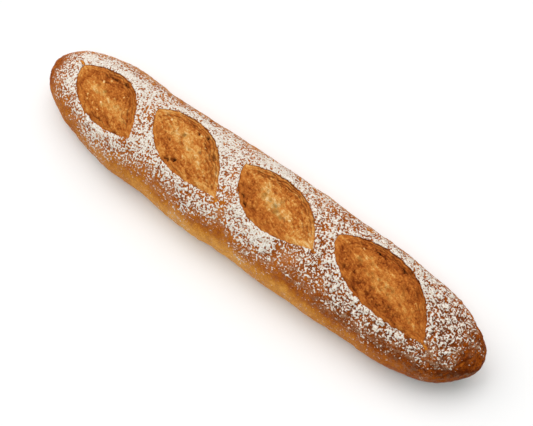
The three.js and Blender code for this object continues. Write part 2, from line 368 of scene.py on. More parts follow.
def bakedCrust():
    # Baked wheat crust under rye flour: browned sugars give a warm, nearly matt skin, and the
    # flour a chalky white layer that cracked into specks as the dough swelled.
    finish = crustFinish
    material, tree, place, flour, dust, bake = addMaterial(
        "flouredBakedCrust", "flour", "dust", "bake")

    patches = addNode(tree, "ShaderNodeTexNoise", {
        "Vector": place, "Scale": 1 / (finish["patchSize"] * mm), "Detail": 3,
        "Roughness": 0.65}).outputs["Fac"]
    freckles = addNode(tree, "ShaderNodeTexNoise", {
        "Vector": place, "Scale": 1 / (finish["freckleSize"] * mm), "Detail": 2}).outputs["Fac"]
    mottle = addNode(tree, "ShaderNodeMath", {
        0: patches, 1: finish["patchContrast"], 2: bake}, operation="MULTIPLY_ADD").outputs[0]
    mottle = addNode(tree, "ShaderNodeMath", {
        0: freckles, 1: finish["freckleContrast"], 2: mottle},
        operation="MULTIPLY_ADD").outputs[0]
    mottle = addNode(tree, "ShaderNodeMath", {
        0: mottle, 1: finish["paler"]}, operation="SUBTRACT").outputs[0]
    crustColour = addNode(tree, "ShaderNodeValToRGB", {
        "Fac": mottle}, stops=finish["browning"]).outputs["Color"]

    grains = addNode(tree, "ShaderNodeTexNoise", {
        "Vector": place, "Scale": 1 / (finish["grainSize"] * mm), "Detail": 2}).outputs["Fac"]
    cover = addNode(tree, "ShaderNodeMath", {
        0: grains, 1: finish["grainContrast"], 2: flour}, operation="MULTIPLY_ADD").outputs[0]
    start, end = finish["grainEdge"]
    cover = addNode(tree, "ShaderNodeMapRange", {
        "Value": cover, "From Min": start, "From Max": end},
        interpolation_type="SMOOTHSTEP").outputs["Result"]

    drifts = addNode(tree, "ShaderNodeTexNoise", {
        "Vector": place, "Scale": 1 / (finish["driftSize"] * mm), "Detail": 4,
        "Roughness": 0.8}).outputs["Fac"]
    start, end = finish["driftEdge"]
    veil = addNode(tree, "ShaderNodeMapRange", {
        "Value": drifts, "From Min": start, "From Max": end,
        "To Max": finish["veilStrength"]}).outputs["Result"]
    veil = addNode(tree, "ShaderNodeMath", {0: veil, 1: dust}, operation="MULTIPLY").outputs[0]
    veiledColour = addNode(tree, "ShaderNodeMix", {
        0: veil, 6: crustColour, 7: toLinear(finish["veilColour"])},
        data_type="RGBA").outputs[2]
    # painted shade: thick flour greys where the freckles sink
    shadedThickFlour = addNode(tree, "ShaderNodeValToRGB", {
        "Fac": freckles}, stops=finish["thickFlourAndShade"]).outputs["Color"]
    flourColour = addNode(tree, "ShaderNodeMix", {
        0: cover, 6: toLinear(finish["thinFlour"]), 7: shadedThickFlour},
        data_type="RGBA").outputs[2]
    colour = addNode(tree, "ShaderNodeMix", {
        0: cover, 6: veiledColour, 7: flourColour}, data_type="RGBA").outputs[2]

    rough = addNode(tree, "ShaderNodeMapRange", {
        "Value": cover, "To Min": finish["bareRoughness"],
        "To Max": finish["flourRoughness"]}).outputs["Result"]
    height = addNode(tree, "ShaderNodeMath", {
        0: cover, 1: finish["grainRise"], 2: freckles}, operation="MULTIPLY_ADD").outputs[0]
    bump = addNode(tree, "ShaderNodeBump", {
        "Height": height, "Strength": finish["bumpStrength"],
        "Distance": finish["bumpHeight"] * mm}).outputs["Normal"]
    shader = addNode(tree, "ShaderNodeBsdfPrincipled", {
        "Base Color": colour, "Roughness": rough, "Normal": bump, "IOR": finish["ior"],
        "Specular IOR Level": finish["specular"]})
    addNode(tree, "ShaderNodeOutputMaterial", {"Surface": shader.outputs[0]})
    return material


doughFinish = {
    # toasting in streaks drawn out along the scores, and single toasted crumbs; paler is taken
    # off the toasting as a whole
    "streakSize": 3, "streakStretch": 2.4, "streakTurn": -19, "streakContrast": 0.56,
    "crumbSize": 0.7, "crumbContrast": 0.6,
    "paler": 0.58,
    "toasting": [(0, "e9c68e"), (0.2, "d79b50"), (0.4, "c27632"), (0.58, "aa5e24"),
                 (0.78, "854016"), (1, "5a270d")],
    # painted shade that darkens the dents and pores of the pale streaks
    "dentShadeColour": "86672f",
    # painted shade in cracks, slits, pits and grooves: reddish brown where they are shallow,
    # nearly black where they are deep
    "hollowShades": [(0.3, "8f4519"), (0.95, "2c1005")],
    "roughness": 0.75, "bumpStrength": 0.6, "bumpHeight": 0.3,
    "ior": 1.45, "specular": 0.02,  # open pores swallow the gloss
}


def openedDough():
    # Torn crumb that dried and browned in the oven: matt and rough, pale where it opened last
    # and toasted at its crumbly sides.
    finish = doughFinish
    material, tree, place, bake, hollowShade, dentShade = addMaterial(
        "toastedOpenedDough", "bake", "hollowShade", "dentShade")

    drawn = addNode(tree, "ShaderNodeMapping", {
        "Vector": place, "Rotation": (0, 0, math.radians(finish["streakTurn"])),
        "Scale": (finish["streakStretch"], 1, 1)}, vector_type="TEXTURE").outputs[0]
    streaks = addNode(tree, "ShaderNodeTexNoise", {
        "Vector": drawn, "Scale": 1 / (finish["streakSize"] * mm), "Detail": 4,
        "Roughness": 0.75}).outputs["Fac"]
    crumbs = addNode(tree, "ShaderNodeTexNoise", {
        "Vector": place, "Scale": 1 / (finish["crumbSize"] * mm), "Detail": 2,
        "Roughness": 0.6}).outputs["Fac"]
    toast = addNode(tree, "ShaderNodeMath", {
        0: streaks, 1: finish["streakContrast"], 2: bake}, operation="MULTIPLY_ADD").outputs[0]
    toast = addNode(tree, "ShaderNodeMath", {
        0: crumbs, 1: finish["crumbContrast"], 2: toast}, operation="MULTIPLY_ADD").outputs[0]
    toast = addNode(tree, "ShaderNodeMath", {
        0: toast, 1: finish["paler"]}, operation="SUBTRACT").outputs[0]
    colour = addNode(tree, "ShaderNodeValToRGB", {
        "Fac": toast}, stops=finish["toasting"]).outputs["Color"]
    # painted shade in the dents and pores
    colour = addNode(tree, "ShaderNodeMix", {
        0: dentShade, 6: colour, 7: toLinear(finish["dentShadeColour"])}, data_type="RGBA").outputs[2]
    # painted shade in the hollows, darker the deeper they are
    hollowShadeColour = addNode(tree, "ShaderNodeValToRGB", {
        "Fac": hollowShade}, stops=finish["hollowShades"]).outputs["Color"]
    colour = addNode(tree, "ShaderNodeMix", {
        0: hollowShade, 6: colour, 7: hollowShadeColour}, data_type="RGBA").outputs[2]
    bump = addNode(tree, "ShaderNodeBump", {
        "Height": crumbs, "Strength": finish["bumpStrength"],
        "Distance": finish["bumpHeight"] * mm}).outputs["Normal"]
    shader = addNode(tree, "ShaderNodeBsdfPrincipled", {
        "Base Color": colour, "Roughness": finish["roughness"], "Normal": bump,
        "IOR": finish["ior"], "Specular IOR Level": finish["specular"]})
    addNode(tree, "ShaderNodeOutputMaterial", {"Surface": shader.outputs[0]})
    return material


crustMaterial = bakedCrust()
doughMaterial = openedDough()
print("materials made")


# Crust: the loaf's skin with a pocket where each score opened

crust = {
    "stepAlong": 0.75, "topStep": 0.75, "flankStep": 0.95, "soleStep": 4,  # mm between points
    "pocketDepth": 4, "pocketSteps": 150,
    "lumps": (0.3, 13), "dimples": (0.16, 5), "blisters": (0.08, 2.6),  # height and size
    "flourThickness": 0.25, "flourEdge": (-0.8, 0.8),
    "crackleSize": 2.6, "crackleContrast": 0.5,
    # clumps of floured skin with bare cracks between, coarser towards the near end
    "clumpSize": 4.2, "clumpRise": 0.4, "clumpJitter": 0.35, "clumpContrast": 0.2,
    "farClumps": 0.35, "nearClumps": (0.65, -40, 90),
    "crackEdge": (-0.2, -0.03), "crackContrast": 1.8,
    # a few creases, and the size of the places that have them
    "creaseSize": 10, "creaseDepth": 0.3, "creaseWidth": 0.05, "creaseContrast": 1.5,
    "creasedSize": 14, "creasedEdge": (0.3, 0.5),
    # the cut skin lies calmer and curls up a little round each score
    "lipRise": 0.45, "lipReach": 2.2, "lipStart": -0.2, "calm": 0.25, "calmReach": 1.5,
    "tearDepth": 0.7, "tearEdge": (0, 0.3),
    "soleEdge": (0.05, 2.5),  # mm above the table where the relief sets in
    # folds round the ends: centre of their rings, and the radius where they start
    "foldRise": 0.6, "foldSharpness": 2.2, "foldSize": 3, "foldStretch": 3.5, "foldLean": 0.6,
    "foldCentre": 128, "nearFolds": 12, "farFolds": 24, "foldFade": 8, "foldHeight": (10, 26),
}

# The skin tore a little further than the cut at some tips: leaf, place along, length, width
tears = [(0, -1.08, 8, 1.9), (3, 1.03, 7, 1.8), (1, 1.02, 4, 1.4), (2, 1.02, 4, 1.4)]

# The dusting of flour, in spreads of the crackle noise: 0 covers half, more covers more
dusting = {
    "level": 0.15,
    "patches": [(0.4, 18, 1, 3.1), (0.6, 8, 2, 12.3)],  # amount, size, octaves and shift
    # places along the loaf
    "nearHalf": (0.3, 20, 50), "nearShoulder": (-0.5, 115, 140),
    "nearTip": (-3.3, 138, 156), "farTip": (-2.9, -143, -156),
    # mm from a score: a fuller border, widest at its front
    "border": (0.3, 6, 2), "wideBorder": (0.4, 11, 5), "wideAround": (95, 120),
    # degrees round the section: a fuller strip along the back, thinner to the near end
    "strip": 0.85, "thinnerStrip": (0.3, -40, 110), "stripAround": (88, 66),
    # the flour fades down the front and the back, and starts to do so further on at one end
    "frontFade": 2.6, "frontAround": (122, 168), "frontShift": (8, 110, 135),
    "backFade": 2.6, "backAround": (68, 12), "backShift": (24, -110, 20),
    "flouredEdge": (-1.2, 0.2),
    # fine dust where the flour runs out, less in the cracks of thick flour, and on the belly
    "dustEdge": (-2.8, -1.2), "lessDust": (0.8, -0.8, 0.2),
    "bellyDust": 0.3, "nearBellyDust": (0.25, 85, 125), "bellyAround": (140, 160),
    "bellyHeight": (2, 10),
    "none": -5,  # a level that is bare for certain
}

# Where hands and the baking cloth left more or less flour: place, reach and amount
flourSpots = [
    (-140, 0, 7, 0.6), (-130, -12, 7, -1.2), (-118, -21, 6, 0.4), (-107, -25, 9, 1.2),
    (-92, -27, 8, 1.1), (-90, -19, 4, -0.6), (-78, 17, 7, -0.7), (-76, -23, 5, 0.5),
    (-70, -12, 6, 1), (-64, -26, 5, -0.6), (-37, -20, 6, -0.8), (-31, -28, 9, 1.3),
    (-30, 13, 6, 1), (-12, 20, 7, -0.5), (-29, -17, 5, -1.1), (-16, -11, 6, -0.8),
    (-12, -17, 8, -0.7), (-12, 2, 7, 0.3), (-6, -22, 6, -0.6), (6, -18, 5, 0.5),
    (13, -28, 9, 1.3), (17, 20, 6, 0.6), (39, -13, 5, -1.1), (41, -22, 11, -1),
    (43, 3, 5, -0.7), (44, -26, 7, -0.9), (44, 19, 6, -0.6), (50, -12, 5, -0.6),
    (54, 19, 9, -1.4), (56, 7, 6, 1.4), (62, -8, 5, 1.1), (62, -19, 8, -0.9),
    (64, -25, 6, -0.8), (68, -14, 5, -0.5), (97, -18, 5, -0.5), (112, 17, 6, 0.5),
    (113, -24, 8, -0.8), (127, 11, 5, -0.5), (127, -20, 9, -1.1), (130, -3, 6, -0.6),
    (136, -16, 7, -1.2), (137, -24, 6, 1.5), (140, -6, 5, 1), (143, 9, 5, -0.3),
    (152, 5, 6, 1),
]

# Browning of the bare skin, 0 golden to 1 dark, in laws along the loaf and round its section
browning = {
    "level": 0.5, "patches": [(0.07, 22, 2, 8), (0.08, 7, 2, 15)],
    "bellyAround": (152, 172), "evenBelly": 0.2,  # the belly is paler and more even
    "paleBelly": 0.4, "farBelly": (0.33, -30, -110), "nearBelly": (0.2, 95, 135),
    "near": (0.18, 0, 110),
    "band": (0.08, 145, 11),  # a darker band above the belly: amount, degrees and reach
    "top": (0.08, 0, 30), "topEnd": (150, 130),
    "paleBack": (0.2, 80, 20),
    "nearFront": (0.13, 30, 100), "nearFrontTip": (0.05, 95, 135), "frontAround": (125, 160),
    "nearTip": (0.1, 132, 154), "farTip": (0.06, -143, -156),
    "fold": 0.3, "foldWidth": 0.1,  # a darker line in each end fold
    # painted shade on the bare crust among the flour and its clumps
    "shadeAmongFlour": 0.05, "shadeAmongClumps": 0.01,
    "tear": 0.3, "pocket": 0.35,
}


def placesAlong(step):
    # places along the loaf in equal steps of its plan outline
    t = np.linspace(0, math.pi, 6000)
    x = -loaf["length"] / 2 * np.cos(t)
    run = np.concatenate([[0], np.cumsum(np.hypot(np.diff(x), np.diff(halfWidthAt(x, 1))))])
    return np.interp(np.linspace(0, run[-1], round(run[-1] / step) + 1), run, x)


def anglesAround():
    # finest over the crown, coarse on the flat sole
    t = np.radians(np.linspace(-60, 300, 4000))
    size = {"y": loaf["width"] / 2, "z": loaf["height"] - loaf["beltHeight"]}
    run = np.hypot(np.gradient(size["y"] * np.cos(t)), np.gradient(size["z"] * np.sin(t)))
    degrees = np.degrees(t)
    step = np.where((degrees > -8) & (degrees < 195), crust["topStep"], crust["flankStep"])
    step = np.where((degrees < -52) | (degrees > 232), crust["soleStep"], step)
    count = np.cumsum(run / step)
    whole = np.arange(int(count[-1]))
    return np.interp(whole, count, t)


def makeCrust():
    x = placesAlong(crust["stepAlong"])[:, None]
    angle = anglesAround()[None]
    c, s = np.cos(angle), np.sin(angle)
    power = 2 / np.where(s > 0, loaf["crownPower"], loaf["bellyPower"])
    side = np.where(c > 0, 1, -1) + 0 * x
    y = spineAt(x) + side * halfWidthAt(x + 0 * angle, side) * np.abs(c) ** power
    under = np.maximum(0, loaf["beltHeight"] - bellyDepthAt(x) * np.abs(s) ** power)
    z = np.where(s > 0, skinHeight(x + 0 * y, y), under)
    points = np.stack([x + 0 * y, y, z], 2).reshape(-1, 3)
    piece = addPiece("crust", points, loftFaces(len(x), angle.shape[1]), crustMaterial)
    weld(piece)
    return piece


def makePocketCutter():
    points, faces = [], []
    steps = crust["pocketSteps"]
    for score in scores:
        along = -np.cos(np.linspace(0, math.pi, steps))
        rings = []
        for across, lift in ((-1, -1), (0, -1), (1, -1), (1, 1), (0, 1), (-1, 1)):
            x, y = spotInScore(score, along, across)
            rings.append(np.stack([x, y, skinHeight(x, y) + lift * crust["pocketDepth"]], 1))
        start = len(points) * steps * 6
        faces += [tuple(start + v for v in f) for f in loftFaces(steps, 6)]
        points.append(np.stack(rings, 1).reshape(-1, 3))
    piece = addPiece("pocketCutter", np.concatenate(points), faces, crustMaterial)
    weld(piece)
    return piece


def cutPockets(piece, cutter):
    cut = piece.modifiers.new("pockets", "BOOLEAN")
    cut.operation = "DIFFERENCE"
    cut.solver = "MANIFOLD"
    cut.object = cutter
    bpy.context.view_layer.update()
    cutMesh = bpy.data.meshes.new_from_object(piece.evaluated_get(
        bpy.context.evaluated_depsgraph_get()))
    piece.modifiers.clear()
    piece.data = cutMesh
    bpy.data.objects.remove(cutter)


def tearAt(x, y):
    # 1 in the middle of a tear, 0 outside it
    torn = np.zeros_like(x)
    for leaf, at, length, width in tears:
        along, offset = placeInScore(scores[leaf], x, y)
        run = (along - at) * scores[leaf]["halfLength"] / (length / 2)
        torn = np.maximum(torn, 1 - np.hypot(run, offset / (width / 2)))
    return torn


def patchesAt(points, patches, level=0):
    return sum((amount * noiseAt(points, size, octaves, shift)
                for amount, size, octaves, shift in patches), level)


def flourLevel(points, around, distance):
    x, y = points[:, 0], points[:, 1]
    level = patchesAt(points, dusting["patches"], dusting["level"])
    for atX, atY, reach, amount in flourSpots:
        level += amount * bell(np.hypot(x - atX, y - atY) / reach)
    level += fade(x, dusting["nearHalf"]) + fade(x, dusting["nearShoulder"])
    level += fade(distance, dusting["border"])
    level += fade(distance, dusting["wideBorder"]) * smooth(around, *dusting["wideAround"])
    strip = dusting["strip"] - fade(x, dusting["thinnerStrip"])
    level += strip * smooth(around, *dusting["stripAround"])
    start, end = dusting["frontAround"]
    level -= dusting["frontFade"] * smooth(around, start + fade(x, dusting["frontShift"]), end)
    start, end = dusting["backAround"]
    level -= dusting["backFade"] * smooth(around, start - fade(x, dusting["backShift"]), end)
    return level + fade(x, dusting["nearTip"]) + fade(x, dusting["farTip"])


def bakeLevel(points, around):
    x = points[:, 0]
    belly = smooth(around, *browning["bellyAround"])
    uneven = patchesAt(points, browning["patches"])
    bake = browning["level"] + uneven * (1 - browning["evenBelly"] * belly)
    amount, place, reach = browning["band"]
    bake += fade(x, browning["near"]) + amount * bell((around - place) / reach)
    bake += fade(around, browning["top"]) * smooth(around, *browning["topEnd"])
    bake -= ((browning["paleBelly"] - fade(x, browning["farBelly"])) * belly
             + fade(around, browning["paleBack"]))
    front = fade(x, browning["nearFront"]) + fade(x, browning["nearFrontTip"])
    bake += front * smooth(around, *browning["frontAround"])
    bake += fade(x, browning["nearBelly"]) * belly
    return bake + fade(x, browning["nearTip"]) + fade(x, browning["farTip"])


def endFolds(points):
    # folds of the skin that run round the two ends of the loaf, and how far they show
    x, y, z = points.T
    out = np.maximum(0, np.abs(x) - crust["foldCentre"])
    reach = np.hypot(out, y - spineAt(x))
    turn = np.arctan2(y - spineAt(x), out) * loaf["width"] / 2
    rolled = np.stack([turn / crust["foldStretch"], reach - crust["foldLean"] * z,
                       np.sign(x) * 50], 1)  # each end takes its own part of the noise
    folds = noiseAt(rolled, crust["foldSize"], 2, 21)
    start = np.where(x > 0, crust["nearFolds"], crust["farFolds"])
    shown = smooth(reach, start, start + crust["foldFade"]) * (out > 0)
    return folds, shown * smooth(z, *crust["foldHeight"])


def dressCrust(piece):
    points = pointsOf(piece)
    x, y, z = points.T
    around = aroundAt(points)
    distance = edgeDistance(x, y)
    # points on the walls and floors of the pockets
    pocket = (distance < 0.3) & (z > loaf["beltHeight"]) & (z < skinHeight(x, y) - 0.3)

    crease = bell(noiseAt(points, crust["creaseSize"], 2, 41) / crust["creaseWidth"])
    crease *= smooth(noiseAt(points, crust["creasedSize"], 1, 50), *crust["creasedEdge"])
    crackle = noiseAt(points, crust["crackleSize"], 2, 0)
    level = flourLevel(points, around, distance)
    floured = smooth(level, *dusting["flouredEdge"])

    jitter = crust["clumpJitter"] * np.stack(
        [noiseAt(points, 2, 1, s) for s in (61, 67, 71)], 1)
    nearest, second = cellsAt(points + jitter * crust["clumpSize"] / 3, crust["clumpSize"], 4)
    crack = smooth(nearest - second, *crust["crackEdge"]) * floured
    crags = (crust["farClumps"] + fade(x, crust["nearClumps"])) * floured
    flour = level - crust["crackleContrast"] * crackle - crust["creaseContrast"] * crease
    flour -= (crust["crackContrast"] * crack - crust["clumpContrast"]) * crags
    torn = tearAt(x, y)
    ripped = smooth(torn, *crust["tearEdge"])

    height = sum(rise * noiseAt(points, size, 2, size) for rise, size in (
        crust["lumps"], crust["dimples"], crust["blisters"]))
    height += crust["flourThickness"] * (smooth(flour, *crust["flourEdge"]) - 0.6)
    height += crust["clumpRise"] * crags * (0.6 - (nearest / 0.6) ** 2 - crack)
    height -= crust["creaseDepth"] * crease
    folds, foldReach = endFolds(points)
    height += crust["foldRise"] * (1 - crust["foldSharpness"] * np.abs(folds)) * foldReach
    calm, lipStart, lipReach = crust["calm"], crust["lipStart"], crust["lipReach"]
    height *= calm + (1 - calm) * smooth(distance, lipStart, crust["calmReach"])
    height += (crust["lipRise"] * bell((distance - lipReach) / lipReach)
               * smooth(distance, lipStart, 1))
    height -= crust["tearDepth"] * np.clip(torn, 0, 1)
    height = np.where(pocket, 0, height)
    height *= smooth(z, *crust["soleEdge"])
    setPoints(piece, points + normalsOf(piece) * height[:, None])

    bake = bakeLevel(points, around)
    bake += browning["fold"] * bell(folds / browning["foldWidth"]) * foldReach
    # painted shade: the bare crust darkens among the flour and its clumps
    bake += (browning["shadeAmongFlour"] + browning["shadeAmongClumps"] * crags) * floured
    bake = bake * (1 - ripped) + browning["tear"] * ripped
    dust = smooth(level, *dusting["dustEdge"]) * (1 - fade(level, dusting["lessDust"]))
    bellyDust = dusting["bellyDust"] + fade(x, dusting["nearBellyDust"])
    bellyDust *= smooth(around, *dusting["bellyAround"])
    bellyDust *= smooth(z, *dusting["bellyHeight"])
    dust = np.maximum(dust, bellyDust) * (1 - ripped)
    setValue(piece, "dust", np.where(pocket, 0, dust))
    setValue(piece, "flour", np.where(pocket, dusting["none"], flour + dusting["none"] * ripped))
    setValue(piece, "bake", np.where(pocket, browning["pocket"], bake))
    piece.data.shade_smooth()
    piece.data.set_sharp_from_angle(angle=math.radians(50))


crustPiece = makeCrust()
cutPockets(crustPiece, makePocketCutter())
dressCrust(crustPiece)
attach(crustPiece, "root")
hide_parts("loaf")
print("crust made, points:", len(crustPiece.data.vertices))


# Dough: the crumb that swelled up through each score

dough = {
    "stepAlong": 0.32, "stepAcross": 0.3, "baseDepth": 3.6,
    "overlap": 1.012,  # reaches just under the cut skin
    "crestDepth": 0.4, "backEdgeDepth": 1.1, "frontEdgeDepth": 1.2, "edgePower": 5,
    "tipDepth": 0.5, "tipPower": 4,
    "streakDepth": 0.5, "streakWidth": 0.22,
    "lumpRise": 0.3, "lumpLength": 9,
    # torn sheets along the edges: mm apart, height, reach inwards and how broken up
    "backLayers": {"pitch": 1.9, "rise": 1.1, "reach": 8, "broken": -0.9},
    "frontLayers": {"pitch": 2.2, "rise": 0.45, "reach": 4.6, "broken": 0},
    "paleWidth": 0.22,
    # height and size
    "crumbs": (0.24, 1.5), "roughness": (0.18, 1.6), "swells": (0.4, 4.5), "fibres": (0.4, 2.4),
    "fibreStretch": 2.6, "splitDepth": 1.2, "threads": (0.12, 1.1), "flakes": (0.4, 2),
    "pits": (0.8, 3.4), "pores": (0.9, 3.4),
    "slitDepth": 0.8, "slitLip": 0.6, "dentDepth": 0.5, "crumbRise": 0.6,
    # painted shade: the deeper a slit is, the darker it is painted
    "darkDepth": 2.2,  # a slit as deep as this is dark all through
    # painted shade: the dark line round the dough lies in the gap where it meets the skin
    "lineWidth": 0.4, "frontShadeLine": 0.03, "backShadeLine": 0.3,  # the dark line round the dough
    "calm": 0.3,  # how much of the relief is left at the tips
    "clearance": 0.1,
    # toasting, 0 pale to 1 dark, and what lightens it
    "toast": 0.43, "toastPatches": [(0.03, 9, 20), (0.04, 3, 22)],  # amount, size and shift
    "paleFibres": 0.1, "paleThreads": 0.09, "paleFlakes": 0.25, "paleCrumbs": 0.45,
    "paleFarTip": (0.12, -0.65, -0.95),
}

# The tables below have one list for each score, and places from -1 to 1 along and across it.
# Slits and holes in the dough: place along and across, length, width and depth
slits = [
    [(-0.4, 0.66, 3.6, 1.3, 2), (-0.26, 0.72, 4, 1.2, 1.8), (-0.08, 0.84, 6, 1.7, 2.4),
     (-0.37, 0.38, 3, 1.1, 1.5), (0.2, 0.7, 3, 1.2, 1.6), (0.72, -0.84, 3, 1.1, 1.5),
     (0.39, -0.47, 2, 1.1, 1.4), (0.72, -0.4, 2, 1, 1.3), (-0.31, -0.62, 2.4, 1.1, 1.4)],
    [(-0.79, 0.4, 3.4, 1.2, 1.6), (-0.7, 0.62, 3.6, 1.2, 1.8), (-0.41, 0.75, 5, 1.2, 1.8),
     (-0.2, 0.67, 3.4, 1.5, 2), (-0.05, 0.86, 3, 1.9, 2.4), (0.07, 0.63, 4, 1.1, 1.6),
     (0.36, 0.8, 3.4, 1.2, 1.8), (-0.08, -0.8, 4, 1.6, 2.4), (0.01, -0.6, 3, 2, 2.2),
     (-0.37, -0.3, 2, 1.3, 1.5), (0.1, -0.56, 2, 1, 1.3), (0.42, -0.7, 2, 1, 1.3),
     (0.16, 0.39, 1.8, 1, 1.3), (-0.29, 0.13, 1.8, 1, 1.3)],
    [(-0.71, 0.5, 3.4, 1.2, 1.8), (-0.57, 0.5, 4, 1.1, 1.6), (-0.47, 0.7, 6, 1.2, 1.8),
     (-0.17, 0.77, 5, 1.2, 1.8), (0.02, 0.86, 4, 1.2, 1.8), (-0.5, -0.8, 3.4, 1.5, 2.3),
     (-0.36, -0.86, 5, 1.5, 2.4), (-0.67, -0.76, 2.6, 1.2, 1.6), (0.28, -0.2, 4, 1, 1.3)],
    [(-0.44, 0.66, 6, 1.6, 2.2), (-0.3, 0.68, 4, 1.2, 1.8), (-0.02, 0.82, 6.5, 2, 2.6),
     (-0.12, 0.66, 5, 1.1, 1.6), (-0.72, 0.6, 4, 1.1, 1.6), (0.08, 0.92, 4, 1.2, 1.8),
     (-0.56, -0.74, 2.4, 1.5, 2), (-0.32, -0.72, 2.4, 1.1, 1.5), (-0.22, -0.84, 3.4, 1.3, 1.8),
     (0.04, -0.6, 1.8, 1.1, 1.4), (0.19, -0.66, 1.8, 1.1, 1.4), (0.33, -0.58, 1.8, 1.1, 1.4),
     (0.54, -0.76, 2.2, 1.1, 1.4), (0.69, -0.86, 2.4, 1.1, 1.4), (0.86, 0.1, 3, 1, 1.3)],
]

# Dents in the pale streaks, darkened olive with painted shade: place along and across, reach
dents = [
    [(-0.15, 0.1, 1.2)],
    [(-0.3, 0.25, 1.3), (0, 0.1, 1)],
    [(-0.29, -0.14, 1.6), (-0.15, -0.1, 1.2), (-0.02, -0.1, 1.7), (0.07, -0.2, 1.9),
     (0.2, -0.22, 1.3)],
    [],
]

# Pale crumbs that broke loose: place along and across, reach
looseCrumbs = [
    [(-0.31, -0.54, 0.9), (-0.24, -0.66, 0.7), (-0.37, 0.28, 1), (-0.31, 0.52, 0.9),
     (0.1, -0.55, 0.8), (0.02, -0.25, 0.7), (0.2, 0.55, 0.7)],
    [(-0.68, 0.25, 0.8), (0.12, 0.6, 0.7)],
    [],
    [(0.5, 0.57, 0.8), (-0.6, 0.4, 0.7)],
]


def doughDepth(score, along, across, streak):
    # the plain form of the opened dough, in mm below the skin
    edge = np.where(across > 0, dough["backEdgeDepth"], dough["frontEdgeDepth"])
    crest = dough["crestDepth"]
    depth = crest + (edge - crest) * np.abs(across) ** dough["edgePower"]
    depth += dough["streakDepth"] * bell((across - streak) / dough["streakWidth"])
    x, y = spotInScore(score, along, across)
    wave = 2 * math.pi / dough["lumpLength"]
    depth -= dough["lumpRise"] * np.sin(wave * (x + 0.4 * y)) * np.sin(wave * (y - 0.3 * x))
    return dough["tipDepth"] + (depth - dough["tipDepth"]) * opennessAt(along)


def opennessAt(along):
    return 1 - np.abs(np.clip(along, -1, 1)) ** dough["tipPower"]


def tornLayers(layers, edge, half, spread):
    # sheets torn open along an edge: each rises inwards and breaks off in a groove, darkened with
    # painted shade
    count = np.floor(edge / layers["pitch"])
    step = edge / layers["pitch"] - count
    gate = half * smooth(edge, layers["reach"], 0.6 * layers["reach"])
    there = spread(8, 2, 31 + 5.3 * count.reshape(-1, 1))
    gate *= smooth(there, layers["broken"], layers["broken"] + 0.4)
    groove = np.maximum(bell(step / 0.3), bell((1 - step) / 0.1))
    return layers["rise"] * (step - 0.6) * gate, 0.8 * groove * gate


def slitAt(score, x, y, at, over, length, width):
    # 1 in the middle of a slit that runs along the leaf's nearest edge, and of its inner lip
    ends = [np.array(spotInScore(score, t, over)) for t in (at, at + 0.05)]
    run = (ends[1] - ends[0]) / np.linalg.norm(ends[1] - ends[0])
    dx, dy = x - ends[0][0], y - ends[0][1]
    u, v = dx * run[0] + dy * run[1], dy * run[0] - dx * run[1]
    reach = bell((u / (length / 2)) ** 2)
    inwards = v * -np.sign(over)
    return reach * bell(v / (width / 2)), reach * bell((inwards - 1.1 * width) / (width / 1.8))


